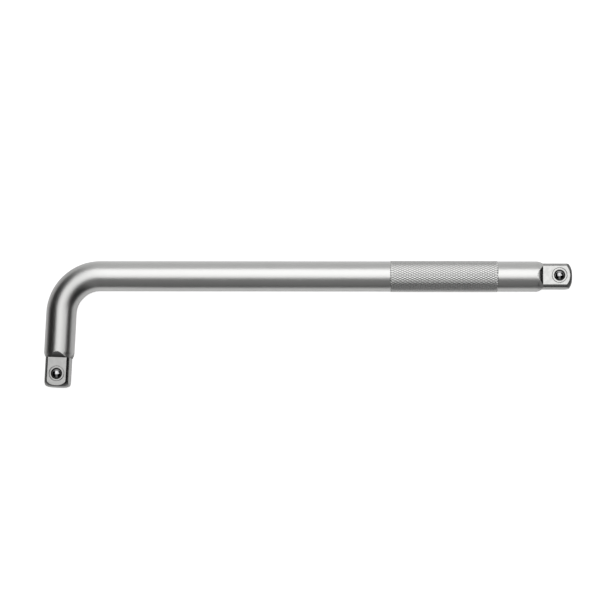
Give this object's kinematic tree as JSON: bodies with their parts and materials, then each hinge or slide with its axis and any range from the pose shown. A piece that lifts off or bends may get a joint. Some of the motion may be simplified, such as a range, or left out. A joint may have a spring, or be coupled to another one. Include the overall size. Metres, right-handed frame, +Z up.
{
  "type": "l-handle socket wrench",
  "caption": "Round bar bent square near one end, with a knurled grip band and a male drive square with a sprung detent ball at each tip.",
  "frame": {"origin": "on the surface that the tool lies on, under the middle of its outline", "axes": "+X along the long arm, from the bend to the long tip; the short leg runs towards -Y; +Z up, the way both detent balls face"},
  "size_m": [0.2774, 0.0673, 0.0164],
  "materials": {
    "satin_chrome": "chrome plating over fine blasted steel: satin on the bar, brighter and finely ground on the drive flats",
    "polished_ball": "hardened bearing ball, mirror polished",
    "spring_steel": "drawn spring wire, lightly oiled"
  },
  "bodies": {
    "handle": {"handle_bar": "satin_chrome", "short_drive_spring": "spring_steel", "long_drive_spring": "spring_steel"},
    "short_ball": {"short_drive_ball": "polished_ball"},
    "long_ball": {"long_drive_ball": "polished_ball"}
  },
  "joints": [
    {"name": "short_ball_press", "type": "slide", "parent": "handle", "child": "short_ball", "axis": [0, 0, -1], "range_m": [0, 0.00117], "stiffness_N_per_m": 2000, "springref_m": -0.002, "deforming": ["short_drive_spring"]},
    {"name": "long_ball_press", "type": "slide", "parent": "handle", "child": "long_ball", "axis": [0, 0, -1], "range_m": [0, 0.00117], "stiffness_N_per_m": 2000, "springref_m": -0.002, "deforming": ["long_drive_spring"]}
  ]
}
